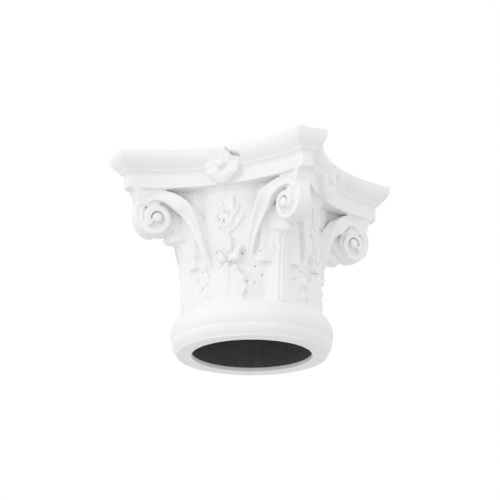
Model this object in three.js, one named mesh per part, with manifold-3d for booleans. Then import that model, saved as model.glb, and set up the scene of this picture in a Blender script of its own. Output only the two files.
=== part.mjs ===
// A Corinthian capital, cast in one piece and hollow for the column that it caps.
// Millimetres, +Z up, origin at the centre of the underside. The four faces look along X and Y,
// and the four corners lie on the diagonals.
import * as THREE from 'three';
import { mergeVertices } from 'three/addons/utils/BufferGeometryUtils.js';
import Module from 'manifold-3d';

const { degToRad, lerp, smoothstep, clamp } = THREE.MathUtils;

// Whole capital
const HEIGHT = 284;
const QUARTERS = 4;
const ROUND_SIDES = 28;
const BORE_RADIUS = 88.5;

// Ring at the foot: a small rounded foot moulding under a large half-round
const FOOT_RADIUS = 111;
const FOOT_STEP = 3;
const FOOT_BULGE = [116.5, 7];
const FOOT_TOP = [118, 16];
const RING_RADIUS = 120;
const RING_TUBE = 28;
const RING_LEVEL = 30.4;
const RING_SEAM = 17;
const RING_TOP = 57;
const RING_STEPS = 5;
const FOOT_STEPS = 2;

// Bell: the plain ground behind the carving, with a thin lip under the slab
const BELL_RADIUS = 95;
const BELL_TOP_RADIUS = 101.6;
const BELL_FLARE_START = 113;
const BELL_FLARE_POWER = 1.5;
const BELL_TOP = 224;
const LIP_RADIUS = 106;
const LIP_LEVEL = 227;

// Top slab: square in plan with hollowed sides and clipped corners; each drop is measured from the top
const SLAB_SOFFIT = 231;
const CORNER_REACH = 218.7;
const SIDE_ARC_RADIUS = 248.4;
const SIDE_ARC_CENTRE = 377.6;
const SIDE_STEPS = 6;
const EDGE_DROP = 5;
const OVOLO_DROP = 26;
const OVOLO_INSET = 12;
const OVOLO_POWER = 2.1;
const FILLET_DROP = 29;
const FILLET_INSET = 12.5;
const COVE_DROP = 37;
const FASCIA_INSET = 18;

// Corner scrolls: two at each corner, each on an upright disc that is turned out from the diagonal.
// The centre of its face lies so far out along the diagonal, across it, and up. The outer radius and the
// width of the band are given for every quarter turn, from the top outwards.
const SCROLL_OUT = 159;
const SCROLL_ACROSS = 21;
const SCROLL_LEVEL = 187;
const SCROLL_TURN = degToRad(15);
const SCROLL_RADII = [45, 32.5, 26.5, 19.5, 17.5, 17, 17];
const SCROLL_WIDTHS = [17, 12, 9, 8, 7, 7, 7];
const SCROLL_END = degToRad(500);
const SCROLL_STEPS = 14;
const SCROLL_SINK = 5;
const COIL_RISE = [degToRad(180), degToRad(330)];
const DRUM = { radius: 33, inwards: 4, up: 6, depth: 15 };
const EYE_RADIUS = 7;
const ROUND_STEPS = 8;

// Web that carries a corner's scrolls, half its plan from the bell outwards, as out and across;
// its levels say how far it reaches, and a block on it meets the slab's corner
const WEB_PLAN = [[88, 34], [105, 30], [119, 15], [162, 5]];
const WEB_FOOT_REACH = 106;
const WEB_LEVELS = [[113, 0], [150, 0.05], [182, 1], [232, 1]];
const CORNER_BLOCK = { inner: 150, half: 12, levels: [[205, 182], [232, 193]] };
const WEB_OVERLAP = 1;

// Stem of a scroll: its outer front edge, from the bell up to the top of the scroll,
// as distance out along the diagonal, distance from the diagonal, height, and the stem's width there
const STEM_EDGE = [[82.7, 48.8, 112, 9], [91.9, 49.6, 127, 10], [98.7, 49.6, 146, 11], [104, 48, 166, 14],
  [111, 46.5, 188, 20], [119.9, 42.8, 208, 23], [132.2, 33.2, 221, 20], [145, 20, 231, 17]];
const STEM_DEPTH = 15;
const STEM_STEPS = 5;
const STEM_LEAVES_BELL = 0.5;

// Leaves are drawn on the unrolled bell: across, up, and height above the ground.
// A leaf's rows go from its foot to its tip as level, half width and curl: wide rows that curl forward are
// the tips of its lobes, and narrow sunk ones the notches between them. Its ribs go from the middle to the
// edge, as place and height: up to 1 on the fluted middle, and from 1 to 2 out to the edge.
const UNROLL_RADIUS = 105;
const LEAF_ROOT = -4;
const LOBE_SLANT = 5;
const CORNER_LEAF = {
  middle: 15,
  rows: [[52, 46, 0], [67, 52, 2], [75, 40, -3], [91, 53, 2], [99, 38, -3], [115, 45, 2], [122, 30, -3],
    [134, 32, 3], [141, 17, 4]],
  ribs: [[0, 19], [0.4, 13], [0.8, 14], [1, 10], [2, 7]],
};
const FACE_LEAF = {
  middle: 6,
  rows: [[52, 18, 0], [65, 27, 2], [72, 20, -3], [86, 26, 3], [93, 15, -3], [104, 15, 4], [113, 4, 3]],
  ribs: [[0, 13], [1, 8], [2, 10]],
};

// Upper leaf that bends out under the two scrolls: its profile on the diagonal, distance out and height
const UPPER_LEAF_PROFILE = [[112, 126], [115, 141], [120, 151], [135, 153], [141, 158], [137, 167],
  [120, 186]];
const UPPER_LEAF_HALF_WIDTH = 20;
const UPPER_LEAF_ROOT = 88;
const UPPER_LEAF_TOP = 186;
const UPPER_LEAF_STEM = 118;
const UPPER_LEAF_STEPS = 4;
const UPPER_LEAF_ROUNDING = { stem: 0.25, tip: 0.7 };

// Spray that grows inside each panel: the lobes of its cup and its blades, each from its foot to its tip
const SPRAY = [
  { from: [5, 113], to: [23, 140], width: 17, height: 13 },
  { from: [0, 112], to: [0, 158], width: 15, height: 12 },
  { from: [2, 152], to: [11, 217], width: 10, height: 8 },
  { from: [4, 152], to: [25, 186], width: 8, height: 8 },
];

// A blade's width along its length, and where between foot and tip its bend lies
const BLADE_SWELL = [[0, 0.7], [0.5, 1], [1, 0.2]];
const BLADE_BEND = [0.7, 0.4];

// Rosette in the middle of each side of the slab
const ROSETTE_LEVEL = 257;
const ROSETTE_GROUND = 108;
const ROSETTE_PETALS = 5;
const PETAL_REACH = 27;
const PETAL_NOTCH = 20;
const PETAL_HEIGHT = 21;
const PETAL_SHOULDER = 0.3;
const PETAL_CREASE = 4;
const PETAL_LEAN = 7;
const BUTTON_RADIUS = 7;
const BUTTON_HEIGHT = 24;

const wasm = await Module();
wasm.setup();

// Bodies: closed geometry in, joined solid or geometry out

function onlyPositions(geometry) {
  const bare = new THREE.BufferGeometry();
  bare.setAttribute('position', geometry.getAttribute('position'));
  bare.setIndex(geometry.getIndex());
  const merged = mergeVertices(bare, 1e-3);
  const index = merged.getIndex();
  const kept = [];
  for (let i = 0; i < index.count; i += 3) {
    const [a, b, c] = [index.getX(i), index.getX(i + 1), index.getX(i + 2)];
    if (a !== b && b !== c && a !== c) kept.push(a, b, c);
  }
  merged.setIndex(kept);
  return merged;
}

// Turns every triangle round where together they enclose a negative volume
function facingOut(geometry) {
  const position = geometry.getAttribute('position');
  const index = geometry.getIndex();
  const corner = [new THREE.Vector3(), new THREE.Vector3(), new THREE.Vector3()];
  let volume = 0;
  for (let i = 0; i < index.count; i += 3) {
    corner.forEach((point, k) => point.fromBufferAttribute(position, index.getX(i + k)));
    volume += corner[0].dot(corner[1].clone().cross(corner[2]));
  }
  if (volume > 0) return geometry;
  for (let i = 0; i < index.count; i += 3) {
    const first = index.getX(i);
    index.setX(i, index.getX(i + 1));
    index.setX(i + 1, first);
  }
  return geometry;
}

function toSolid(geometry) {
  const body = onlyPositions(geometry);
  return new wasm.Manifold(new wasm.Mesh({
    numProp: 3,
    vertProperties: new Float32Array(body.getAttribute('position').array),
    triVerts: new Uint32Array(body.getIndex().array),
  }));
}

function toGeometry(solid) {
  const mesh = solid.getMesh();
  const geometry = new THREE.BufferGeometry();
  geometry.setAttribute('position', new THREE.BufferAttribute(new Float32Array(mesh.vertProperties), 3));
  geometry.setIndex(new THREE.BufferAttribute(new Uint32Array(mesh.triVerts), 1));
  geometry.computeVertexNormals();
  return geometry;
}

function join(geometries) {
  return geometries.map(toSolid).reduce((whole, solid) => whole.add(solid));
}

function mirrored(geometry) {
  return facingOut(geometry.clone().applyMatrix4(new THREE.Matrix4().makeScale(1, -1, 1)));
}

function turned(geometry, degrees) {
  return geometry.clone().rotateZ(degToRad(degrees));
}

// A closed body through a row of like sections, each a loop of points
function loft(sections) {
  const positions = sections.flat().flatMap((point) => point.toArray());
  const indices = [];
  const count = sections[0].length;
  const next = (i) => (i + 1) % count;
  for (let row = 0; row + 1 < sections.length; row += 1) {
    const low = row * count;
    const high = low + count;
    for (let i = 0; i < count; i += 1) {
      indices.push(low + i, low + next(i), high + next(i), low + i, high + next(i), high + i);
    }
  }
  const last = (sections.length - 1) * count;
  for (const [row, flip] of [[0, true], [last, false]]) {
    const loop = sections[row / count];
    const middle = loop.reduce((sum, point) => sum.addScaledVector(point, 1 / count), new THREE.Vector3());
    const hub = positions.length / 3;
    positions.push(...middle.toArray());
    for (let i = 0; i < count; i += 1) {
      const pair = flip ? [row + next(i), row + i] : [row + i, row + next(i)];
      indices.push(...pair, hub);
    }
  }
  const geometry = new THREE.BufferGeometry();
  geometry.setAttribute('position', new THREE.Float32BufferAttribute(positions, 3));
  geometry.setIndex(indices);
  return facingOut(geometry);
}

// Ring and bell, turned about the axis

function bellRadius(z) {
  const rise = clamp((z - BELL_FLARE_START) / (BELL_TOP - BELL_FLARE_START), 0, 1);
  return lerp(BELL_RADIUS, BELL_TOP_RADIUS, rise ** BELL_FLARE_POWER);
}

function turnedBody() {
  const at = (radius, z) => new THREE.Vector2(radius, z);
  const foot = new THREE.QuadraticBezierCurve(at(FOOT_RADIUS, FOOT_STEP), at(...FOOT_BULGE), at(...FOOT_TOP));
  const from = Math.asin((RING_SEAM - RING_LEVEL) / RING_TUBE);
  const to = Math.asin((RING_TOP - RING_LEVEL) / RING_TUBE);
  const ring = new THREE.EllipseCurve(RING_RADIUS - RING_TUBE, RING_LEVEL, RING_TUBE, RING_TUBE, from, to);
  const bell = [RING_TOP, (BELL_FLARE_START + BELL_TOP) / 2, BELL_TOP].map((z) => at(bellRadius(z), z));
  const lip = [at(LIP_RADIUS, LIP_LEVEL), at(LIP_RADIUS, SLAB_SOFFIT + 1), at(0, SLAB_SOFFIT + 1)];
  const moulded = [...foot.getPoints(FOOT_STEPS), ...ring.getPoints(RING_STEPS)];
  const profile = [at(0, 0), at(FOOT_RADIUS, 0), ...moulded, ...bell, ...lip];
  const geometry = new THREE.LatheGeometry(profile, ROUND_SIDES);
  geometry.rotateX(Math.PI / 2);
  return facingOut(onlyPositions(geometry));
}

// Top slab, a loft of its plan

function slabPlan(inset, z) {
  const radius = SIDE_ARC_RADIUS + inset;
  const offset = Math.SQRT2 * (CORNER_REACH - inset) - SIDE_ARC_CENTRE;
  const halfSide = (offset + Math.sqrt(2 * radius ** 2 - offset ** 2)) / 2;
  const sweep = Math.asin(halfSide / radius);
  const up = new THREE.Vector3(0, 0, 1);
  const points = [];
  for (let side = 0; side < QUARTERS; side += 1) {
    for (let i = 0; i <= SIDE_STEPS; i += 1) {
      const angle = lerp(-sweep, sweep, i / SIDE_STEPS);
      const out = SIDE_ARC_CENTRE - radius * Math.cos(angle);
      const point = new THREE.Vector3(out, radius * Math.sin(angle), z);
      points.push(point.applyAxisAngle(up, side * Math.PI / 2));
    }
  }
  return points;
}

function topSlab() {
  const ovolo = [0.35, 0.65, 1].map((part) => [
    lerp(EDGE_DROP, OVOLO_DROP, part), OVOLO_INSET * part ** OVOLO_POWER]);
  const cove = [[lerp(FILLET_DROP, COVE_DROP, 0.4), lerp(FILLET_INSET, FASCIA_INSET, 0.75)]];
  const levels = [[0, 0], [EDGE_DROP, 0], ...ovolo, [FILLET_DROP, FILLET_INSET], ...cove,
    [COVE_DROP, FASCIA_INSET], [HEIGHT - SLAB_SOFFIT, FASCIA_INSET]];
  return loft(levels.map(([drop, inset]) => slabPlan(inset, HEIGHT - drop)));
}

// Scroll: a band that climbs the bell and coils at the corner.
// In the corner's own frame X runs out along the diagonal and Y across it.

// A value given for every quarter turn or every point of a row, taken smoothly between them
function between(values, part) {
  return new THREE.SplineCurve(values.map((value, i) => new THREE.Vector2(i, value))).getPoint(part).y;
}

// A point of the scroll's disc: outwards and up from its centre, and forward of its face
function onScroll(outwards, up, forward) {
  const [c, s] = [Math.cos(SCROLL_TURN), Math.sin(SCROLL_TURN)];
  return new THREE.Vector3(SCROLL_OUT + outwards * c + forward * s,
    SCROLL_ACROSS - outwards * s + forward * c, SCROLL_LEVEL + up);
}

// The same point carried straight across, just past the diagonal
function onDiagonal(point) {
  return point.clone().setY(-WEB_OVERLAP);
}

function scrollSection(turn) {
  const quarters = turn / (Math.PI / 2) / (SCROLL_RADII.length - 1);
  const radius = between(SCROLL_RADII, quarters);
  const forward = lerp(-SCROLL_SINK, 0, smoothstep(turn, ...COIL_RISE));
  const at = (reach) => onScroll(reach * Math.sin(turn), reach * Math.cos(turn), forward);
  const inside = radius - between(SCROLL_WIDTHS, quarters);
  const outer = at(radius);
  const inner = at(inside);
  return [outer, inner, onDiagonal(inner), onDiagonal(outer)];
}

function stemSection(edge, along) {
  const outer = edge.getPoint(along);
  const outward = new THREE.Vector3(outer.x, outer.y, 0);
  const clear = outward.length() - bellRadius(outer.z) - LEAF_ROOT;
  const discFront = new THREE.Vector3(Math.sin(SCROLL_TURN), Math.cos(SCROLL_TURN), 0);
  outward.normalize().lerp(discFront, smoothstep(along, STEM_LEAVES_BELL, 1)).normalize();
  const towardsCorner = outward.clone().cross(edge.getTangent(along)).normalize();
  const width = between(STEM_EDGE.map((point) => point[3]), along);
  const inner = outer.clone().addScaledVector(towardsCorner, width);
  const depth = along > STEM_LEAVES_BELL ? STEM_DEPTH : Math.max(STEM_DEPTH, clear);
  const back = (point) => point.clone().addScaledVector(outward, -depth);
  return [outer, inner, back(inner), back(outer)];
}

function scrollBand() {
  const points = STEM_EDGE.map(([out, across, up]) => new THREE.Vector3(out, across, up));
  const edge = new THREE.CatmullRomCurve3(points);
  const stem = Array.from({ length: STEM_STEPS }, (_, i) => stemSection(edge, i / STEM_STEPS));
  const turns = Array.from({ length: SCROLL_STEPS + 1 }, (_, i) => SCROLL_END * i / SCROLL_STEPS);
  return loft([...stem, ...turns.map(scrollSection)]);
}

// A round body that stands on the diagonal and ends at a depth under the scroll's face
function scrollRound({ radius, inwards, up, depth }) {
  const front = Array.from({ length: ROUND_STEPS }, (_, i) => {
    const angle = 2 * Math.PI * i / ROUND_STEPS;
    return onScroll(radius * Math.cos(angle) - inwards, radius * Math.sin(angle) + up, -depth);
  });
  return loft([front.map(onDiagonal), front]);
}

function cornerBlock() {
  const { inner, half, levels } = CORNER_BLOCK;
  return loft(levels.map(([z, reach]) => [[inner, -half], [reach, -half], [reach, half], [inner, half]].map(
    ([out, across]) => new THREE.Vector3(out, across, z))));
}

function web() {
  return loft(WEB_LEVELS.map(([z, part]) => {
    const right = WEB_PLAN.map(([out, across]) => new THREE.Vector3(
      lerp(Math.min(out, WEB_FOOT_REACH), out, part), across, z));
    return [...right, ...right.map(({ x, y }) => new THREE.Vector3(x, -y, z)).reverse()];
  }));
}

// Leaves

function onBell(across, up, above) {
  const angle = across / UNROLL_RADIUS;
  const radius = bellRadius(up) + above;
  return new THREE.Vector3(radius * Math.cos(angle), radius * Math.sin(angle), up);
}

function leaf({ middle, rows, ribs }) {
  return loft(rows.map(([up, half, curl]) => {
    const fluted = Math.min(middle, 0.8 * half);
    const right = ribs.map(([place, height]) => {
      const across = place < 1 ? place * fluted : lerp(fluted, half, place - 1);
      const outer = across / half;
      return [across, up + LOBE_SLANT * outer ** 2, height + curl * outer];
    });
    right.push([half, up + LOBE_SLANT, LEAF_ROOT]);
    const left = right.slice(1).map(([across, ...rest]) => [-across, ...rest]).reverse();
    return [...left, ...right].map((point) => onBell(...point));
  }));
}

// One blade of the spray: a ridge that bends up from its foot to its tip
function blade({ from, to, width, height }) {
  const foot = new THREE.Vector2(...from);
  const tip = new THREE.Vector2(...to);
  const bend = new THREE.Vector2(lerp(foot.x, tip.x, BLADE_BEND[0]), lerp(foot.y, tip.y, BLADE_BEND[1]));
  const spine = new THREE.QuadraticBezierCurve(foot, bend, tip);
  return loft(BLADE_SWELL.map(([along, swell]) => {
    const { x, y } = spine.getPoint(along);
    const tangent = spine.getTangent(along);
    const side = (offset) => onBell(x - tangent.y * offset, y + tangent.x * offset, LEAF_ROOT);
    const half = swell * width / 2;
    return [side(-half), onBell(x, y, height), side(half)];
  }));
}

function upperLeaf() {
  const sections = [];
  for (let i = 0; i <= UPPER_LEAF_STEPS; i += 1) {
    const part = lerp(-1, 1, i / UPPER_LEAF_STEPS);
    const across = part * UPPER_LEAF_HALF_WIDTH;
    const at = (out, z) => new THREE.Vector3(out, across, z);
    const front = UPPER_LEAF_PROFILE.map(([out, z]) => {
      const { stem, tip } = UPPER_LEAF_ROUNDING;
      const pull = out > UPPER_LEAF_STEM ? tip : stem;
      return at(lerp(UPPER_LEAF_ROOT, out, 1 - pull * part ** 2), z);
    });
    const foot = UPPER_LEAF_PROFILE[0][1];
    sections.push([...front, at(UPPER_LEAF_ROOT, UPPER_LEAF_TOP), at(UPPER_LEAF_ROOT, foot)]);
  }
  return loft(sections);
}

function corner() {
  const eye = { radius: EYE_RADIUS, inwards: 0, up: 0, depth: 0 };
  const scroll = [scrollBand(), scrollRound(DRUM), scrollRound(eye)];
  return join([web(), cornerBlock(), ...scroll, ...scroll.map(mirrored), leaf(CORNER_LEAF), upperLeaf()]);
}

// What fills one face: the small leaf, the spray in the panel and the rosette on the slab

function spray() {
  const right = SPRAY.map(blade);
  return [...right, ...right.filter((_, i) => SPRAY[i].to[0] > 0).map(mirrored)];
}

// The rosette is a loft of rings, from its back on the slab out to its edge and in to the button.
// Round a ring, each petal has its notch and the two shoulders of its broad end.
function rosette() {
  const low = PETAL_HEIGHT - PETAL_CREASE;
  const rings = [[1, LEAF_ROOT, 0, 0], [1, low, PETAL_CREASE, PETAL_LEAN], [0.55, low - 2, PETAL_CREASE, 0],
    [BUTTON_RADIUS / PETAL_REACH, BUTTON_HEIGHT, 0, 0]];
  return loft(rings.map(([part, height, crease, lean]) => {
    const ring = [];
    for (let i = 0; i < ROSETTE_PETALS; i += 1) {
      for (const [place, petal] of [[0, 0], [PETAL_SHOULDER, 1], [1 - PETAL_SHOULDER, 1]]) {
        const angle = (i + place) / ROSETTE_PETALS * 2 * Math.PI + Math.PI / 2 - Math.PI / ROSETTE_PETALS;
        const reach = part * lerp(PETAL_NOTCH, PETAL_REACH, petal);
        const out = ROSETTE_GROUND + height + crease * petal + lean * Math.sin(angle);
        ring.push(new THREE.Vector3(out, reach * Math.cos(angle), ROSETTE_LEVEL + reach * Math.sin(angle)));
      }
    }
    return ring;
  }));
}

function face() {
  return join([leaf(FACE_LEAF), ...spray(), rosette()]);
}

// The whole casting, with the bore cut through it

function casting() {
  const oneCorner = toGeometry(corner());
  const oneFace = toGeometry(face());
  const parts = [turnedBody(), topSlab()];
  for (let quarter = 0; quarter < QUARTERS; quarter += 1) {
    parts.push(turned(oneCorner, 45 + 90 * quarter), turned(oneFace, 90 * quarter));
  }
  const bore = new THREE.CylinderGeometry(BORE_RADIUS, BORE_RADIUS, 2 * HEIGHT, ROUND_SIDES);
  bore.rotateX(Math.PI / 2);
  return toGeometry(join(parts).subtract(toSolid(bore)));
}

const primedWhite = new THREE.MeshStandardMaterial({ color: 0xf3f3f1, roughness: 0.6, metalness: 0 });
const capital = new THREE.Mesh(casting(), primedWhite);
capital.name = 'capital';

const group = new THREE.Group();
group.add(capital);

export default group;
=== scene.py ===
import math
import bmesh
import bpy
import numpy as np
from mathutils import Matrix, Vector


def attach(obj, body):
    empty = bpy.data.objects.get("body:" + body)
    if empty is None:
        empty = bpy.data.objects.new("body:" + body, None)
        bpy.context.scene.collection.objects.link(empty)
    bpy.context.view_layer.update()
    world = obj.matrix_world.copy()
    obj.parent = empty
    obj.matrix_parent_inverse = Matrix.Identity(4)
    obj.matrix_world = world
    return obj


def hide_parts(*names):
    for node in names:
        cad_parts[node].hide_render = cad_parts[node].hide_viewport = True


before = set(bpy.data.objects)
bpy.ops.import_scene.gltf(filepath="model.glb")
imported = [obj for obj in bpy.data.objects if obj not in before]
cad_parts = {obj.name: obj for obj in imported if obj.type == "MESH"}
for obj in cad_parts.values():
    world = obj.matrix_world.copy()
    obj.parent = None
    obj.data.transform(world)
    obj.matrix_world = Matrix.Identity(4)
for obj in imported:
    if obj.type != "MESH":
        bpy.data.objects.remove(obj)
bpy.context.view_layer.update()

# A white Corinthian capital, cast in one piece and painted, seen from below in a pale studio.
scene = bpy.context.scene


# Camera. It stands low and well back, a little right of the front face, and looks up at the soffit.
# A long lens keeps the verticals almost parallel.
CAMERA_PLACE = Vector((1.4461, -3.6926, -1.0854))
CAMERA_HEADING = Vector((-0.3653, 0.9309, 0.0))
CAMERA_PITCH = math.radians(17.472)
SENSOR_WIDTH = 36.0
LENS = 201.75
CLIP_END = 60.0

lens = bpy.data.cameras.new("camera")
lens.sensor_width = SENSOR_WIDTH
lens.lens = LENS
lens.clip_end = CLIP_END
camera = bpy.data.objects.new("camera", lens)
scene.collection.objects.link(camera)
camera.location = CAMERA_PLACE
sight = CAMERA_HEADING * math.cos(CAMERA_PITCH) + Vector((0.0, 0.0, math.sin(CAMERA_PITCH)))
camera.rotation_euler = sight.to_track_quat("-Z", "Y").to_euler()
scene.camera = camera


# Studio. A plain pale floor below the camera, white all round, and one broad soft lamp from the left.
FLOOR_LEVEL = -1.3
FLOOR_HALF = 9.0
FLOOR_COLOUR = (0.75, 0.75, 0.75, 1.0)
FLOOR_ROUGHNESS = 0.9
ROOM_LIGHT = 1.0
KEY_PLACE = Vector((-1.6, -3.6, 1.3))
KEY_TARGET = Vector((0.0, 0.0, 0.15))
KEY_SIZE = 2.2
KEY_POWER = 25.0

corners = [(-1, -1), (1, -1), (1, 1), (-1, 1)]
floor_mesh = bpy.data.meshes.new("floor")
floor_points = [(x * FLOOR_HALF, y * FLOOR_HALF, FLOOR_LEVEL) for x, y in corners]
floor_mesh.from_pydata(floor_points, [], [(0, 1, 2, 3)])
floor = bpy.data.objects.new("floor", floor_mesh)
scene.collection.objects.link(floor)
floor_paint = bpy.data.materials.new("pale_floor")
floor_paint.use_nodes = True
floor_look = floor_paint.node_tree.nodes["Principled BSDF"]
floor_look.inputs["Base Color"].default_value = FLOOR_COLOUR
floor_look.inputs["Roughness"].default_value = FLOOR_ROUGHNESS
floor_mesh.materials.append(floor_paint)

world = bpy.data.worlds.new("studio")
world.use_nodes = True
world.node_tree.nodes["Background"].inputs["Color"].default_value = (1.0, 1.0, 1.0, 1.0)
world.node_tree.nodes["Background"].inputs["Strength"].default_value = ROOM_LIGHT
scene.world = world
scene.view_settings.view_transform = "Standard"

key = bpy.data.lights.new("key", "AREA")
key.energy = KEY_POWER
key.size = KEY_SIZE
key_lamp = bpy.data.objects.new("key", key)
scene.collection.objects.link(key_lamp)
key_lamp.location = KEY_PLACE
key_lamp.rotation_euler = (KEY_TARGET - KEY_PLACE).to_track_quat("-Z", "Y").to_euler()


# Ring and bell. The turned part of the casting: a rounded foot, a large half-round ring, and the plain
# bell that carries the leaves, with a thin lip under the slab and a bore for the column.
# Sizes are in millimetres.
MM = 0.001
HEIGHT = 284.0
BORE_RADIUS = 88.5
FOOT_RADIUS = 111.0
FOOT_CURVE = [(111.0, 3.0), (116.5, 7.0), (118.0, 16.0)]
RING_RADIUS = 120.0
RING_TUBE = 28.0
RING_LEVEL = 30.4
RING_SEAM = 17.0
RING_TOP = 57.0
BELL_RADIUS = 95.0
BELL_TOP_RADIUS = 101.6
BELL_FLARE_START = 113.0
BELL_FLARE_POWER = 1.5
BELL_TOP = 224.0
LEAF_GROUND = 4.5
LEAF_GROUND_LEVELS = (66.0, 96.0)
LIP_RADIUS = 106.0
LIP_LEVEL = 227.5
SLAB_SOFFIT = 231.0
TURNED_SIDES = 288


def bezier(points, count):
    """Points along a quadratic curve that starts at the first of three points and ends at the last."""
    a, b, c = (np.asarray(point, float) for point in points)
    t = np.linspace(0.0, 1.0, count)[:, None]
    return (1 - t) ** 2 * a + 2 * t * (1 - t) * b + t ** 2 * c


def smooth(value, low, high):
    """A soft step from 0 at low to 1 at high."""
    t = np.clip((np.asarray(value, float) - low) / (high - low), 0.0, 1.0)
    return t * t * (3 - 2 * t)


def bell_radius(up):
    flare = BELL_TOP - BELL_FLARE_START
    rise = np.clip((np.asarray(up, float) - BELL_FLARE_START) / flare, 0.0, 1.0)
    return BELL_RADIUS + (BELL_TOP_RADIUS - BELL_RADIUS) * rise ** BELL_FLARE_POWER


def closed_ring(rings):
    """A ring-shaped body: a row of loops that closes on itself both ways."""
    rings = np.asarray(rings, float)
    rows, count, _ = rings.shape
    row, col = np.meshgrid(np.arange(rows), np.arange(count), indexing="ij")
    above, beside = (row + 1) % rows, (col + 1) % count
    quads = [row * count + col, row * count + beside, above * count + beside, above * count + col]
    return rings.reshape(-1, 3), np.stack(quads, -1).reshape(-1, 4).tolist()


def turned_body():
    low = math.asin((RING_SEAM - RING_LEVEL) / RING_TUBE)
    high = math.asin((RING_TOP - RING_LEVEL) / RING_TUBE)
    swing = np.linspace(low, high, 40)
    reach = RING_RADIUS + RING_TUBE * (np.cos(swing) - 1)
    ring = np.stack([reach, RING_LEVEL + RING_TUBE * np.sin(swing)], 1)
    levels = np.linspace(RING_TOP, BELL_TOP, 40)
    ground = LEAF_GROUND * (1 - smooth(levels, *LEAF_GROUND_LEVELS))
    bell = np.stack([bell_radius(levels) + ground, levels], 1)
    top = SLAB_SOFFIT + 1.0
    ends = [(LIP_RADIUS, LIP_LEVEL), (LIP_RADIUS, top), (BORE_RADIUS, top), (BORE_RADIUS, 0.0)]
    profile = np.concatenate([[(FOOT_RADIUS, 0.0)], bezier(FOOT_CURVE, 12), ring, bell, ends])
    angle = np.linspace(0.0, 2 * math.pi, TURNED_SIDES, endpoint=False)
    around = np.stack([np.cos(angle), np.sin(angle), np.zeros_like(angle)], 1)
    return closed_ring([radius * around + (0, 0, level) for radius, level in profile])


whole_parts = [turned_body()]


# Top slab. Square in plan with hollowed sides and clipped corners, run with a rounded edge, a fillet, a
# cove and a plain band. It is part of the same casting, and the bore goes through it.
CORNER_REACH = 218.7
SIDE_ARC_RADIUS = 248.4
SIDE_ARC_CENTRE = 377.6
SIDE_STEPS = 240
EDGE_DROP = 5.0
OVOLO_DROP = 26.0
OVOLO_INSET = 12.0
OVOLO_POWER = 2.1
FILLET_DROP = 29.0
FILLET_INSET = 12.6
COVE_DROP = 37.0
BAND_INSET = 18.0
CREVICE = [(-2.0, 284.0), (31.0, 265.0)]
CREVICE_DEPTH = 12.0
CREVICE_HALF_WIDTH = 2.2
CREVICE_WAVES = [(1.3, 9.0), (0.7, 23.0)]


def slab_plan(inset, level):
    radius = SIDE_ARC_RADIUS + inset
    offset = math.sqrt(2) * (CORNER_REACH - inset) - SIDE_ARC_CENTRE
    half_side = (offset + math.sqrt(2 * radius ** 2 - offset ** 2)) / 2
    angle = np.linspace(-1.0, 1.0, SIDE_STEPS) * math.asin(half_side / radius)
    x, y = SIDE_ARC_CENTRE - radius * np.cos(angle), radius * np.sin(angle)
    sides = [(x, y), (-y, x), (-x, -y), (y, -x)]
    return np.concatenate([np.stack([sx, sy, np.full_like(sx, level)], 1) for sx, sy in sides])


def crevice(ring):
    """Sinks the part of a ring that crosses the jagged gap between a rosette and the slab."""
    x, y, level = ring.T
    along = np.where(np.abs(x) > np.abs(y), np.sign(x) * y, -np.sign(y) * x)
    start, end = (np.array(point) for point in CREVICE)
    way = end - start
    share = ((along - start[0]) * way[0] + (level - start[1]) * way[1]) / (way @ way)
    jag = sum(size * np.sin(rate * share) for size, rate in CREVICE_WAVES)
    aside = ((along - start[0]) * -way[1] + (level - start[1]) * way[0]) / np.linalg.norm(way) - jag
    inside = smooth(share, -0.05, 0.03) * (1 - smooth(share, 0.9, 1.05))
    sink = CREVICE_DEPTH * inside * np.exp(-(aside / CREVICE_HALF_WIDTH) ** 4)
    return ring - ring * (1, 1, 0) / np.hypot(x, y)[:, None] * sink[:, None]


def top_slab():
    part = np.linspace(0.0, 1.0, 24)
    ovolo = np.stack([EDGE_DROP + (OVOLO_DROP - EDGE_DROP) * part, OVOLO_INSET * part ** OVOLO_POWER], 1)
    swing = part * math.pi / 2
    cove = np.stack([FILLET_DROP + (COVE_DROP - FILLET_DROP) * (1 - np.cos(swing)),
                     FILLET_INSET + (BAND_INSET - FILLET_INSET) * np.sin(swing)], 1)
    drops = np.concatenate([[(0.0, 0.0), (2.5, 0.0)], ovolo, cove, [(HEIGHT - SLAB_SOFFIT, BAND_INSET)]])
    rings = [crevice(slab_plan(inset, HEIGHT - drop)) for drop, inset in drops]
    bearing = np.arctan2(rings[0][:, 1], rings[0][:, 0])
    bore = BORE_RADIUS * np.stack([np.cos(bearing), np.sin(bearing), np.zeros_like(bearing)], 1)
    rings += [bore + (0, 0, level) for level in (SLAB_SOFFIT, HEIGHT)]
    return closed_ring(rings)


whole_parts.append(top_slab())


# Corner scrolls. At each corner two bands climb the bell as stems, lean out and coil under the slab, on
# upright discs that meet on the diagonal. A band is a shallow channel between two rims; the outer radius
# and the width go by quarter turns from the top, and a stem's points are out, across, up and width in the
# corner's frame.
SCROLL_OUT = 159.0
SCROLL_ACROSS = 21.0
SCROLL_LEVEL = 187.0
SCROLL_TURN = math.radians(15)
SCROLL_RADII = [45, 32, 24, 18.5, 16.8, 16.5, 16.5]
SCROLL_WIDTHS = [17, 11, 8.5, 8, 7, 7, 7]
SCROLL_END = math.radians(500)
SCROLL_SINK = 5.0
COIL_RISE = (math.radians(180), math.radians(330))
DRUM_DEPTH = 15.0
DRUM_RADIUS = 31.0
DRUM_INWARDS = 4.0
DRUM_UP = 7.0
EYE_RADIUS = 7.0
COIL_FLOOR_RADIUS = 22.0
COIL_FLOOR_DEPTH = 7.5
CORNER_BLOCK = [(205, 182), (215, 186), (225, 189), (232, 193)]
CORNER_BLOCK_INNER = 150.0
CORNER_BLOCK_HALF = 12.0
RIM_HEIGHT = 1.3
CHANNEL_DEPTH = 1.3
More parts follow.
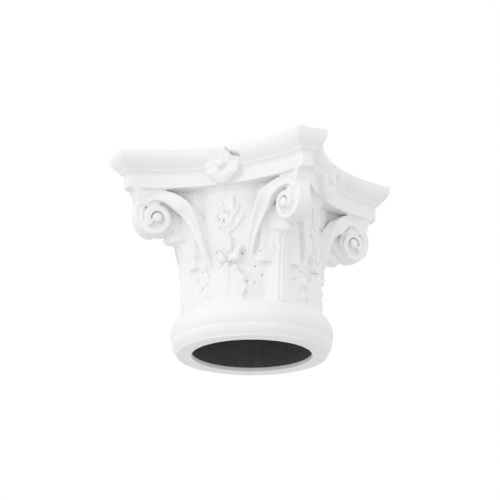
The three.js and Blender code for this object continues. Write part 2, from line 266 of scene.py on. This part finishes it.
STEM_EDGE = [(82.7, 48.8, 112, 9), (91.9, 49.6, 127, 10), (98.7, 49.6, 146, 11), (104, 48, 166, 14),
             (111, 46.5, 188, 20), (119.9, 42.8, 208, 23), (132.2, 33.2, 221, 20), (145, 20, 231, 17)]
STEM_DEPTH = 15.0
STEM_LEAVES_BELL = 0.5
STEM_STEPS = 64
WEB_PLAN = [(91, 34), (105, 30), (119, 15), (162, 5)]
WEB_FOOT_REACH = 106.0
WEB_LEVELS = [(113, 0.0), (150, 0.05), (162, 0.3), (182, 1.0), (232, 1.0)]


def loft(sections):
    """A closed body through a row of like loops, each end shut by a fan."""
    rings = np.asarray(sections, float)
    rows, count, _ = rings.shape
    col = np.arange(count)
    beside = (col + 1) % count
    low = np.arange(rows - 1)[:, None] * count
    quads = np.stack([low + col, low + beside, low + count + beside, low + count + col], -1).reshape(-1, 4)
    hub, last = rows * count, (rows - 1) * count
    fans = [(hub, b, a) for a, b in zip(col.tolist(), beside.tolist())]
    fans += [(hub + 1, last + a, last + b) for a, b in zip(col.tolist(), beside.tolist())]
    return np.concatenate([rings.reshape(-1, 3), rings[[0, -1]].mean(1)]), quads.tolist() + fans


def mirrored(body):
    verts, faces = body
    return verts * (1, -1, 1), [tuple(reversed(face)) for face in faces]


def spun(body, degrees):
    verts, faces = body
    c, s = math.cos(math.radians(degrees)), math.sin(math.radians(degrees))
    return verts @ np.array([(c, s, 0), (-s, c, 0), (0, 0, 1)]), faces


def spline(points, part):
    """A smooth curve through points of any width, at parts of its length from 0 to 1."""
    p = np.asarray(points, float).reshape(len(points), -1)
    ends = np.concatenate([[2 * p[0] - p[1]], p, [2 * p[-1] - p[-2]]])
    t = np.clip(np.atleast_1d(part), 0, 1 - 1e-9) * (len(p) - 1)
    i = t.astype(int)
    f = (t - i)[:, None]
    a, b, c, d = (ends[i + k] for k in range(4))
    slope = c - a
    bend = 2 * a - 5 * b + 4 * c - d
    twist = 3 * b - a - 3 * c + d
    return 0.5 * (2 * b + slope * f + bend * f ** 2 + twist * f ** 3)


def on_scroll(outwards, up, forward):
    c, s = math.cos(SCROLL_TURN), math.sin(SCROLL_TURN)
    outwards, up, forward = np.broadcast_arrays(np.asarray(outwards, float), up, forward)
    return np.stack([SCROLL_OUT + outwards * c + forward * s, SCROLL_ACROSS - outwards * s + forward * c,
                     SCROLL_LEVEL + up], -1)


def channelled(outer, inner, forward):
    """The front of a band between two edges: a wide rim, a hollow, and a narrow rim."""
    across = np.linspace(0.0, 1.0, 17)
    rims = np.exp(-((across - 0.16) / 0.11) ** 2) + 0.8 * np.exp(-((across - 0.9) / 0.08) ** 2)
    hollow = smooth(across, 0.18, 0.5) * (1 - smooth(across, 0.6, 0.9))
    share = min(1.0, np.linalg.norm(inner - outer) / SCROLL_WIDTHS[0])
    lift = (RIM_HEIGHT * rims - CHANNEL_DEPTH * hollow) * share
    return outer + across[:, None] * (inner - outer) + lift[:, None] * forward


def scroll_band():
    disc_front = np.array([math.sin(SCROLL_TURN), math.cos(SCROLL_TURN), 0.0])
    part = np.linspace(0, 1, STEM_STEPS)
    edge = spline(STEM_EDGE, part)
    tangent = np.gradient(edge[:, :3], axis=0)
    sections = []
    for along, (*outer, width), way in list(zip(part, edge, tangent))[:-3]:
        outer = np.array(outer)
        reach = math.hypot(outer[0], outer[1])
        turn = smooth(along, STEM_LEAVES_BELL, 1.0)
        forward = (1 - turn) * outer * (1, 1, 0) / reach + turn * disc_front
        forward /= np.linalg.norm(forward)
        inward = np.cross(forward, way)
        inner = outer + width * inward / np.linalg.norm(inward)
        clear = max(STEM_DEPTH, reach - bell_radius(outer[2]) + 4.0)
        depth = STEM_DEPTH + (clear - STEM_DEPTH) * (1 - smooth(along, 0.4, 0.7))
        back = [inner - depth * forward, outer - depth * forward]
        sections.append(np.concatenate([channelled(outer, inner, forward), back]))
    for turn in np.linspace(0.0, SCROLL_END, 160):
        quarters = turn / (math.pi / 2) / (len(SCROLL_RADII) - 1)
        radius, width = spline(list(zip(SCROLL_RADII, SCROLL_WIDTHS)), quarters)[0]
        forward = SCROLL_SINK * (smooth(turn, *COIL_RISE) - 1)
        reaches = (radius, radius - width)
        outer, inner = (on_scroll(r * math.sin(turn), r * math.cos(turn), forward) for r in reaches)
        back = [inner * (1, 0, 1) - (0, 1, 0), outer * (1, 0, 1) - (0, 1, 0)]
        sections.append(np.concatenate([channelled(outer, inner, disc_front), back]))
    return loft(sections)


def scroll_round(radius, inwards, up, rings):
    """A round body from the diagonal to a scroll's face; a ring is a share of its radius and a height."""
    angle = np.linspace(0, 2 * math.pi, 72, endpoint=False)
    outwards, above = radius * np.cos(angle), radius * np.sin(angle)
    loops = [on_scroll(share * outwards - inwards, share * above + up, forward) for share, forward in rings]
    return loft([loops[0] * (1, 0, 1) - (0, 1, 0)] + loops)


def web():
    sections = []
    for level, part in WEB_LEVELS:
        half = [(min(x, WEB_FOOT_REACH) * (1 - part) + x * part, y, level) for x, y in WEB_PLAN]
        sections.append(half + [(x, -y, z) for x, y, z in reversed(half)])
    return loft(sections)


def corner_block():
    """The block that carries a corner of the slab, from the web out to its sloping face."""
    near, half = CORNER_BLOCK_INNER, CORNER_BLOCK_HALF
    return loft([[(near, -half, level), (reach, -half, level), (reach, half, level), (near, half, level)]
                 for level, reach in CORNER_BLOCK])


eye_dome = [(math.cos(a), 2.5 * math.sin(a) - 0.5) for a in np.linspace(0, 1.4, 8)]
scroll = [scroll_band(),
          scroll_round(DRUM_RADIUS, DRUM_INWARDS, DRUM_UP, [(1, -DRUM_DEPTH)]),
          scroll_round(COIL_FLOOR_RADIUS, 0, 0, [(1, -COIL_FLOOR_DEPTH)]),
          scroll_round(EYE_RADIUS, 0, 0, eye_dome)]
corner_parts = [web(), corner_block()] + scroll + [mirrored(part) for part in scroll]


# Corner leaf. A broad acanthus leaf on each diagonal: upright flutes up its middle, four lobes a side,
# each a fan of round-ended leaflets with drilled gaps between, and a tip that curls forward. Drawn on the
# unrolled bell as across and up; it is highest on the diagonal and falls away to its edge.
UNROLL_RADIUS = 105.0
LEAF_ROOT = -4.0
CREST_HEIGHT = 15.0
EDGE_HEIGHT = 6.0
CREST_FALL = (2.0, 27.0)
CORNER_LOBES = [((10, 56), (50, 72)), ((10, 66), (52, 97)), ((9, 84), (46, 121)),
                ((7, 104), (33, 142))]
LEAFLET_LENGTHS = (0.62, 0.5)
RIB = {"half_foot": 21, "half_top": 13, "low": 54, "high": 140, "flutes": 5, "tip_curl": 3.0}
FLUTE_DEPTH = 1.1
LEAF_PLATE = [(54, 47), (80, 46), (100, 40), (125, 28)]
LEAF_PLATE_SINK = 4.0
TIP_WIDTH = 12.0
TIP_HEIGHTS = (-6, 2, 6)
TIP_THICKNESS = 8.0
LEAFLET_SPREAD = math.radians(40)


def on_bell(across, up, above):
    angle = np.asarray(across, float) / UNROLL_RADIUS
    radius = bell_radius(up) + above
    return np.stack(np.broadcast_arrays(radius * np.cos(angle), radius * np.sin(angle), up), -1)


def on_leaf(across, up, above):
    crest = EDGE_HEIGHT + (CREST_HEIGHT - EDGE_HEIGHT) * (1 - smooth(np.abs(across), *CREST_FALL))
    return on_bell(across, up, np.where(above > LEAF_ROOT, crest + above, above))


def blade(place, foot, tip, width, heights, bow=0.0, groove=1.2, thick=None, steps=15):
    """A leaflet from its foot to a round tip, with a domed back, a crease and sides to the ground."""
    foot, tip = np.asarray(foot, float), np.asarray(tip, float)
    way = tip - foot
    spine = bezier([foot, (foot + tip) / 2 + bow * np.array([-way[1], way[0]]), tip], steps)
    along = np.linspace(0, 1, steps)
    tangent = np.gradient(spine, axis=0)
    tangent /= np.linalg.norm(tangent, axis=1, keepdims=True)
    swell = 0.5 + 0.5 * np.sin(math.pi / 2 * np.clip(along / 0.55, 0, 1))
    half = np.maximum(width / 2 * swell * np.sqrt(1 - np.clip((along - 0.6) / 0.4, 0, 1) ** 2), 0.25)
    height = bezier([[heights[0]], [heights[1]], [heights[2]]], steps)[:, 0]
    offsets = np.linspace(-1, 1, 13)
    sections = []
    for centre, run, reach, top in zip(spine, tangent, half, height):
        across = centre[0] - run[1] * reach * offsets
        up = centre[1] + run[0] * reach * offsets
        crease = groove * min(1.0, reach / 3) * np.exp(-(offsets / 0.25) ** 2)
        above = top - 0.45 * reach * offsets ** 2 - crease
        base = LEAF_ROOT if thick is None else top - thick
        ends = [-1, 0]
        loop = np.append(across, across[ends]), np.append(up, up[ends]), np.append(above, [base, base])
        sections.append(place(*loop))
    return loft(sections)


def lobe(place, foot, tip, height, curl=2.0, fat=1.0, rise=1.0):
    """A lobe of a leaf: a stalk and three leaflets that fan out from it."""
    foot, tip = np.asarray(foot, float), np.asarray(tip, float)
    way = tip - foot
    length = np.linalg.norm(way)
    parts = [blade(place, foot, foot + 0.7 * way, 0.4 * length * fat,
                   (height - rise, height, height - 1), 0.05)]
    for k in (-1, 0, 1):
        c, s = math.cos(k * LEAFLET_SPREAD), math.sin(k * LEAFLET_SPREAD)
        turned = np.array([c * way[0] - s * way[1], s * way[0] + c * way[1]])
        end = foot + 0.4 * way + LEAFLET_LENGTHS[abs(k)] * turned
        top = height - 1.2 * abs(k)
        heights = (top - rise, top, top + curl)
        parts.append(blade(place, foot + 0.3 * way, end, 0.34 * length * fat, heights, 0.08 * k))
    return parts


def fluted_rib(half_foot, half_top, low, high, flutes, tip_curl):
    across = np.linspace(-1, 1, 20 * flutes + 1)
    ripple = FLUTE_DEPTH * np.cos(across * math.pi * flutes) * (1 - across ** 4)
    rows = []
    for part in np.linspace(0, 1, 30):
        half = half_foot + (half_top - half_foot) * part
        lift = ripple + 1.0 + tip_curl * smooth(part, 0.7, 1.0) - 3.0 * across ** 4
        side = np.append(half * across, [half, -half])
        level = np.full_like(side, low + (high - low) * part)
        rows.append(on_leaf(side, level, np.append(lift, [LEAF_ROOT] * 2)))
    return loft(rows)


def leaf_ground(half_widths, sink):
    """The plate that the lobes of a leaf lie on."""
    rows = []
    for up, half in half_widths:
        side = half * np.append(np.linspace(-1, 1, 25), [1, -1])
        above = np.append(np.full(25, -sink), [LEAF_ROOT] * 2)
        rows.append(on_leaf(side, np.full_like(side, float(up)), above))
    return loft(rows)


corner_parts += [fluted_rib(**RIB), leaf_ground(LEAF_PLATE, LEAF_PLATE_SINK)]
for k in (-2, -1, 0, 1, 2):
    foot, tip = (4.5 * k, 112), (8 * k, 145 - 2.5 * k * k)
    corner_parts.append(blade(on_leaf, foot, tip, TIP_WIDTH, TIP_HEIGHTS, thick=TIP_THICKNESS))
side_lobes = [part for foot, tip in CORNER_LOBES for part in lobe(on_leaf, foot, tip, 0.0)]
corner_parts += side_lobes + [mirrored(part) for part in side_lobes]


# Upper leaf. It rises behind the corner leaf's tip, bends out under the two scrolls and ends in a
# drooping knob; its side lobes lie between the stems. Its profile on the diagonal is out and up.
UPPER_PROFILE = [(101, 110), (108, 126), (114, 141), (120, 151), (128, 154), (135, 153), (141, 157),
                 (139, 165), (131, 173), (120, 186)]
UPPER_HALF_WIDTH = 20.0
UPPER_ROOT = 91.0
UPPER_TOP = 186.0
UPPER_ROUNDING = 9.0
UPPER_RIPPLE = 1.4


def upper_leaf():
    front = spline(UPPER_PROFILE, np.linspace(0, 1, 60))
    pull = 0.22 + 0.5 * smooth(front[:, 0], 112, 122)
    sections = []
    for part in np.linspace(-1, 1, 61):
        ripple = UPPER_RIPPLE * math.cos(part * math.pi * 5) * (1 - smooth(front[:, 0], 124, 136))
        out = UPPER_ROOT + (front[:, 0] - UPPER_ROOT) * (1 - pull * part ** 2) + ripple
        across = part * UPPER_HALF_WIDTH
        lift = UPPER_ROUNDING * part ** 2 * smooth(front[:, 0], 116, 130) * (front[:, 1] < 168)
        rows = np.stack([out, np.full_like(out, across), front[:, 1] + lift], 1)
        back = [(UPPER_ROOT, across, UPPER_TOP), (UPPER_ROOT, across, UPPER_PROFILE[0][1])]
        sections.append(np.concatenate([rows, back]))
    return loft(sections)


upper_lobes = lobe(on_bell, (14, 128), (33, 168), 9.0, 3.0, 1.0, 11.0)
upper_lobes += lobe(on_bell, (16, 122), (39, 146), 6.0, 2.0, 1.0, 8.0)
corner_parts += [upper_leaf()] + upper_lobes + [mirrored(part) for part in upper_lobes]


# Small leaf under each panel: a short acanthus leaf between the corner leaves, of the same cut, with a
# rib that swings a little as it climbs.
FACE_LOBES = [((3, 56), (28, 71)), ((3, 64), (28, 93)), ((2, 80), (16, 109))]
face_parts = [blade(on_bell, (-1, 54), (2, 114), 15, (10, 12, 12), 0.05, 2.0)]
face_lobes = [part for foot, tip in FACE_LOBES for part in lobe(on_bell, foot, tip, 9.5, 2.0, 1.15)]
face_parts += face_lobes + [mirrored(part) for part in face_lobes]


# Spray in each panel: two curled leaves and round buds form a cup, and a stem rises from it with a tall
# blade on one side, a leaf and a small blossom on the other, and buds on thin stalks. A blade is foot,
# tip, width, heights and bow; a bud is across, up, radius and height.
SPRAY_BLADES = [((2, 118), (23, 140), 10, (6, 10, 12), -0.22),
                ((-1, 118), (-17, 139), 9, (6, 10, 11), 0.22),
                ((4, 124), (3, 157), 11, (7, 9, 9), 0.0), ((2, 148), (2, 188), 5, (4, 5, 4), 0.02),
                ((3, 160), (11, 217), 6, (3, 5, 5), -0.06), ((4, 162), (23, 181), 4, (3, 4, 4), -0.2),
                ((9, 182), (17, 196), 3.5, (3, 4, 4), -0.15), ((1, 184), (-12, 213), 8, (3, 6, 5), 0.16),
                ((0, 162), (-17, 185), 4, (3, 4, 4), 0.2)]
BUDS = [(-8, 120, 7, 9), (15, 121, 8, 10), (24, 184, 4, 4), (18, 199, 3.5, 4), (-18, 188, 4, 4),
        (-4, 172, 3.5, 4), (-9, 176, 3.5, 4), (-8, 183, 3.5, 4), (-2, 184, 3.5, 4),
        (0, 177, 3.5, 4), (-7, 197, 3.5, 3)]


def bud(across, up, radius, height):
    angle = np.linspace(0, 2 * math.pi, 24, endpoint=False)
    dome = [(math.cos(a), height * math.sin(a) + 1.0) for a in np.linspace(0, 1.45, 7)]
    rings = [(1.0, LEAF_ROOT)] + dome
    return loft([on_bell(across + share * radius * np.cos(angle), up + share * radius * np.sin(angle),
                         np.full_like(angle, above)) for share, above in rings])


face_parts += [blade(on_bell, *values) for values in SPRAY_BLADES] + [bud(*values) for values in BUDS]


# Rosette in the middle of each side of the slab: five broad creased petals round a button, leaning out at
# the top to clear the rounded edge.
ROSETTE_LEVEL = 257.0
ROSETTE_GROUND = 108.0
PETAL_REACHES = (27.0, 28.0, 21.0, 27.0, 26.0)
PETAL_WIDTH = 29.0
PETAL_HEIGHTS = (15, 22, 19)
PETAL_CREASE = 3.0
PETAL_LEAN = 7.0
BUTTON_RADIUS = 6.5
BUTTON_GROUND = 20.0
BUTTON_HEIGHT = 5.0


def on_slab(across, up, above):
    return np.stack(np.broadcast_arrays(ROSETTE_GROUND + above, across, ROSETTE_LEVEL + up), -1)


for k, reach in enumerate(PETAL_REACHES):
    angle = math.radians(72 * k - 90)
    way = np.array([math.cos(angle), math.sin(angle)])
    low, high, end = PETAL_HEIGHTS
    heights = (low, high, end + PETAL_LEAN * way[1])
    face_parts.append(blade(on_slab, 2 * way, reach * way, PETAL_WIDTH, heights, groove=PETAL_CREASE))
angle = np.linspace(0, 2 * math.pi, 48, endpoint=False)
button = [(BUTTON_RADIUS, 0.0)]
button += [(BUTTON_RADIUS * math.cos(a), BUTTON_GROUND + BUTTON_HEIGHT * math.sin(a))
           for a in np.linspace(0, 1.45, 8)]
face_parts.append(loft([on_slab(radius * np.cos(angle), radius * np.sin(angle), np.full_like(angle, above))
                        for radius, above in button]))


# Paint. Matt white primer over the casting, a shade warmer and duller in patches, with a fine orange-peel
# bump; above a white lip the bore wall is coloured near-black, painted shade for its dark hollow.
paint = bpy.data.materials.new("primed_white")
paint.use_nodes = True
paint_nodes = paint.node_tree.nodes
paint_links = paint.node_tree.links
PAINT_COLOUR = (0.88, 0.88, 0.875, 1.0)
PAINT_SHADE = (0.83, 0.83, 0.82, 1.0)
# Near-black painted shade for the dark hollow of the bore.
BORE_PAINTED_SHADE_COLOUR = (0.02, 0.02, 0.021, 1.0)
PAINT_ROUGHNESS = 0.55
BORE_SHADE_START = 5.0
PATCH_SCALE = 14.0
PEEL_SCALE = 420.0
PEEL_STRENGTH = 0.12
PEEL_DEPTH = 0.0006


class Signal:
    """A shader value that can be written as plain sums."""

    def __init__(self, socket):
        self.socket = socket

    @staticmethod
    def node(kind, inputs, output=0, **settings):
        made = paint_nodes.new(kind)
        for name, value in settings.items():
            setattr(made, name, value)
        for name, value in inputs.items():
            if isinstance(value, Signal):
                paint_links.new(value.socket, made.inputs[name])
            else:
                made.inputs[name].default_value = value
        return Signal(made.outputs[output])

    def maths(self, operation, other):
        return Signal.node("ShaderNodeMath", {0: self, 1: other}, operation=operation)

    def __add__(self, other):
        return self.maths("ADD", other)

    def __mul__(self, other):
        return self.maths("MULTIPLY", other)

    __radd__ = __add__
    __rmul__ = __mul__

    def step(self, low, high):
        return Signal.node("ShaderNodeMapRange", {"Value": self, "From Min": low, "From Max": high},
                           interpolation_type="SMOOTHSTEP")


def blend(part, first, second):
    """A colour between two others; a Mix node's colours are its seventh and eighth inputs."""
    return Signal.node("ShaderNodeMix", {0: part, 6: first, 7: second}, 2, data_type="RGBA")


place = Signal.node("ShaderNodeTexCoord", {}, "Object")
x, y, level = (Signal.node("ShaderNodeSeparateXYZ", {"Vector": place}, axis) for axis in "XYZ")
from_axis = Signal.node("ShaderNodeMath", {0: x * x + y * y}, operation="SQRT")
inside = from_axis.step((BORE_RADIUS + 1.2) * MM, (BORE_RADIUS - 0.2) * MM)
# Painted shade: the bore wall above the white lip is coloured near-black where the hollow is dark.
bore_painted_shade = inside * level.step(BORE_SHADE_START * MM, (BORE_SHADE_START + 1.5) * MM)
patches = Signal.node("ShaderNodeTexNoise", {"Vector": place, "Scale": PATCH_SCALE, "Detail": 4.0})
peel = Signal.node("ShaderNodeTexNoise", {"Vector": place, "Scale": PEEL_SCALE, "Detail": 2.0})
painted = blend(patches.step(0.45, 0.75) * 0.6, PAINT_COLOUR, PAINT_SHADE)
look = paint_nodes["Principled BSDF"]
paint_links.new(blend(bore_painted_shade, painted, BORE_PAINTED_SHADE_COLOUR).socket, look.inputs["Base Color"])
paint_links.new((PAINT_ROUGHNESS + patches * 0.15).socket, look.inputs["Roughness"])
bump = Signal.node("ShaderNodeBump", {"Height": peel, "Strength": PEEL_STRENGTH, "Distance": PEEL_DEPTH})
paint_links.new(bump.socket, look.inputs["Normal"])


# Drilled eyes and seam. The gaps between lobes end in small round holes, bored before the mould was taken,
# and the mould's joint shows as a fine groove down the middle of each panel. A leaf's eyes are placed from
# the diagonal as across and up, and a spray's from the middle of a face as across, up and radius.
LEAF_EYES = [(39, 82), (27, 94), (38, 107), (30, 128)]
LEAF_EYE_RADIUS = 1.5
SPRAY_EYES = [(-5, 178, 1.7), (-11, 169, 1.5), (3, 169, 1.4), (-13, 181, 1.5), (4, 190, 1.4),
              (-3, 192, 1.5), (-14, 130, 1.8), (4, 129, 2.0), (23, 129, 1.8)]
EYE_DEPTH = 4.5
SEAM_LEVELS = (208.0, 230.0)
SEAM_HALF_WIDTH = 0.8
SEAM_DEPTH = 1.6
DIAGONAL = UNROLL_RADIUS * math.pi / 4


def drilled(points):
    """Sinks the eyes and the seam into points of the casting."""
    x, y, up = points.T
    reach = np.hypot(x, y)
    across = (np.mod(np.arctan2(y, x) + math.pi / 4, math.pi / 2) - math.pi / 4) * UNROLL_RADIUS
    leaf_eyes = [(DIAGONAL - out, level, LEAF_EYE_RADIUS) for out, level in LEAF_EYES]
    eyes = SPRAY_EYES + leaf_eyes + [(-side, level, radius) for side, level, radius in leaf_eyes]
    sink = np.zeros_like(up)
    for side, level, radius in eyes:
        apart = np.hypot(across - side, up - level)
        sink = np.maximum(sink, EYE_DEPTH * np.exp(-(apart / radius) ** 4))
    low, high = SEAM_LEVELS
    seam = smooth(up, low, low + 3) * (1 - smooth(up, high, high + 2))
    seam *= np.exp(-(across / SEAM_HALF_WIDTH) ** 2)
    sink = np.maximum(sink, SEAM_DEPTH * seam) * (reach > bell_radius(up) - 2)
    return points - points * (1, 1, 0) * (sink / reach)[:, None]


# Casting. One quarter of the carving is repeated round the axis and joined with the turned body and the
# slab; then the whole is fused, softened as paint and a mould soften an edge, and thinned to an even
# weight of faces.
FUSE_SIZE = 0.00105
SOFTEN_STEPS = 3
FACE_BUDGET = 190000
QUARTERS = 4


def mesh_of(name, bodies):
    starts = np.cumsum([0] + [len(verts) for verts, _ in bodies])
    faces = [[i + int(start) for i in face] for start, (_, body) in zip(starts, bodies) for face in body]
    mesh = bpy.data.meshes.new(name)
    mesh.from_pydata((np.concatenate([verts for verts, _ in bodies]) * MM).tolist(), [], faces)
    return mesh


def evaluated(obj):
    graph = bpy.context.evaluated_depsgraph_get()
    mesh = bpy.data.meshes.new_from_object(obj.evaluated_get(graph), depsgraph=graph)
    obj.modifiers.clear()
    obj.data = mesh
    return mesh


def quarter_turns():
    """A tree that repeats a mesh round the axis and paints it."""
    tree = bpy.data.node_groups.new("quarter_turns", "GeometryNodeTree")
    tree.interface.new_socket("Geometry", in_out="INPUT", socket_type="NodeSocketGeometry")
    tree.interface.new_socket("Count", in_out="INPUT", socket_type="NodeSocketInt")
    tree.interface.new_socket("Paint", in_out="INPUT", socket_type="NodeSocketMaterial")
    tree.interface.new_socket("Geometry", in_out="OUTPUT", socket_type="NodeSocketGeometry")
    source, result = tree.nodes.new("NodeGroupInput"), tree.nodes.new("NodeGroupOutput")
    points = tree.nodes.new("GeometryNodePoints")
    index = tree.nodes.new("GeometryNodeInputIndex")
    share = tree.nodes.new("ShaderNodeMath")
    share.operation = "DIVIDE"
    angle = tree.nodes.new("ShaderNodeMath")
    angle.operation = "MULTIPLY"
    angle.inputs[1].default_value = 2 * math.pi
    rotation = tree.nodes.new("ShaderNodeCombineXYZ")
    repeat = tree.nodes.new("GeometryNodeInstanceOnPoints")
    real = tree.nodes.new("GeometryNodeRealizeInstances")
    coat = tree.nodes.new("GeometryNodeSetMaterial")
    for out, into in ((source.outputs["Count"], points.inputs["Count"]),
                      (index.outputs[0], share.inputs[0]), (source.outputs["Count"], share.inputs[1]),
                      (share.outputs[0], angle.inputs[0]), (angle.outputs[0], rotation.inputs["Z"]),
                      (points.outputs[0], repeat.inputs["Points"]),
                      (source.outputs["Geometry"], repeat.inputs["Instance"]),
                      (rotation.outputs[0], repeat.inputs["Rotation"]),
                      (repeat.outputs[0], real.inputs[0]), (real.outputs[0], coat.inputs["Geometry"]),
                      (source.outputs["Paint"], coat.inputs["Material"]),
                      (coat.outputs[0], result.inputs[0])):
        tree.links.new(out, into)
    return tree


quarter = [spun(part, 45) for part in corner_parts] + face_parts
capital = bpy.data.objects.new("capital", mesh_of("quarter", quarter))
scene.collection.objects.link(capital)
turns = capital.modifiers.new("quarter turns", "NODES")
turns.node_group = quarter_turns()
sockets = turns.node_group.interface.items_tree
named = {item.name: item.identifier for item in sockets if item.in_out == "INPUT"}
turns[named["Count"]] = QUARTERS
turns[named["Paint"]] = paint
carving = evaluated(capital)

shape = bmesh.new()
shape.from_mesh(carving)
shape.from_mesh(mesh_of("whole", whole_parts))
bmesh.ops.recalc_face_normals(shape, faces=shape.faces)
shape.to_mesh(carving)
shape.free()

fuse = capital.modifiers.new("fuse", "REMESH")
fuse.mode = "VOXEL"
fuse.voxel_size = FUSE_SIZE
soften = capital.modifiers.new("soften", "SMOOTH")
soften.factor = 0.5
soften.iterations = SOFTEN_STEPS
fused = evaluated(capital)
points = np.empty(3 * len(fused.vertices))
fused.vertices.foreach_get("co", points)
fused.vertices.foreach_set("co", (drilled(points.reshape(-1, 3) / MM) * MM).ravel())
thin = capital.modifiers.new("thin", "DECIMATE")
thin.ratio = FACE_BUDGET / sum(len(face.vertices) - 2 for face in fused.polygons)
cast = evaluated(capital)
cast.name = "capital"
cast.shade_smooth()
cast.materials.clear()
cast.materials.append(paint)

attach(capital, "root")
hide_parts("capital")
